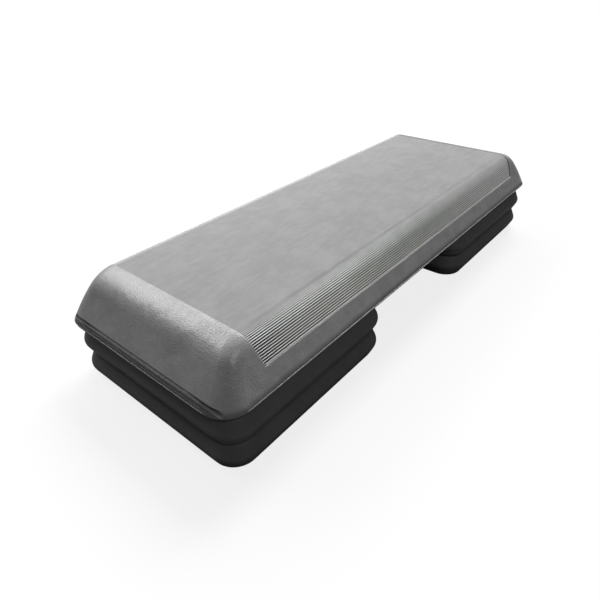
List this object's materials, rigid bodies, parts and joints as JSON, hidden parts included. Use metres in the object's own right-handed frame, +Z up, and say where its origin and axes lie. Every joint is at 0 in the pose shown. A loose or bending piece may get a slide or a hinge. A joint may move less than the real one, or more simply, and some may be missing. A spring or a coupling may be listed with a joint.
{
  "type": "aerobic step platform",
  "caption": "Long hollow step deck with a ribbed top, standing at each end on stacked nesting risers with rubber feet; the risers lift off to set the step height.",
  "frame": {"origin": "on the floor under the middle of the deck", "axes": "+X along the deck, +Y across it, +Z up"},
  "size_m": [1.0922, 0.4064, 0.2031],
  "materials": {
    "deck": "grey moulded polyethylene with a leathery grain",
    "riser": "black moulded polyethylene with a fine grain",
    "foot": "matt black rubber"
  },
  "bodies": {
    "deck": {"deck": "deck", "deck_foot_left_front": "foot", "deck_foot_left_back": "foot", "deck_foot_right_front": "foot", "deck_foot_right_back": "foot"},
    "left_lower_riser": {"left_lower_riser": "riser", "left_lower_foot_inner_front": "foot", "left_lower_foot_inner_back": "foot", "left_lower_foot_outer_front": "foot", "left_lower_foot_outer_back": "foot"},
    "left_upper_riser": {"left_upper_riser": "riser", "left_upper_foot_inner_front": "foot", "left_upper_foot_inner_back": "foot", "left_upper_foot_outer_front": "foot", "left_upper_foot_outer_back": "foot"},
    "right_lower_riser": {"right_lower_riser": "riser", "right_lower_foot_inner_front": "foot", "right_lower_foot_inner_back": "foot", "right_lower_foot_outer_front": "foot", "right_lower_foot_outer_back": "foot"},
    "right_upper_riser": {"right_upper_riser": "riser", "right_upper_foot_inner_front": "foot", "right_upper_foot_inner_back": "foot", "right_upper_foot_outer_front": "foot", "right_upper_foot_outer_back": "foot"}
  },
  "joints": [
    {"name": "left_deck_lift", "type": "slide", "parent": "deck", "child": "left_upper_riser", "axis": [0, 0, -1], "range_m": [0, 0.08]},
    {"name": "left_riser_lift", "type": "slide", "parent": "left_upper_riser", "child": "left_lower_riser", "axis": [0, 0, -1], "range_m": [0, 0.08]},
    {"name": "right_deck_lift", "type": "slide", "parent": "deck", "child": "right_upper_riser", "axis": [0, 0, -1], "range_m": [0, 0.08]},
    {"name": "right_riser_lift", "type": "slide", "parent": "right_upper_riser", "child": "right_lower_riser", "axis": [0, 0, -1], "range_m": [0, 0.08]}
  ]
}
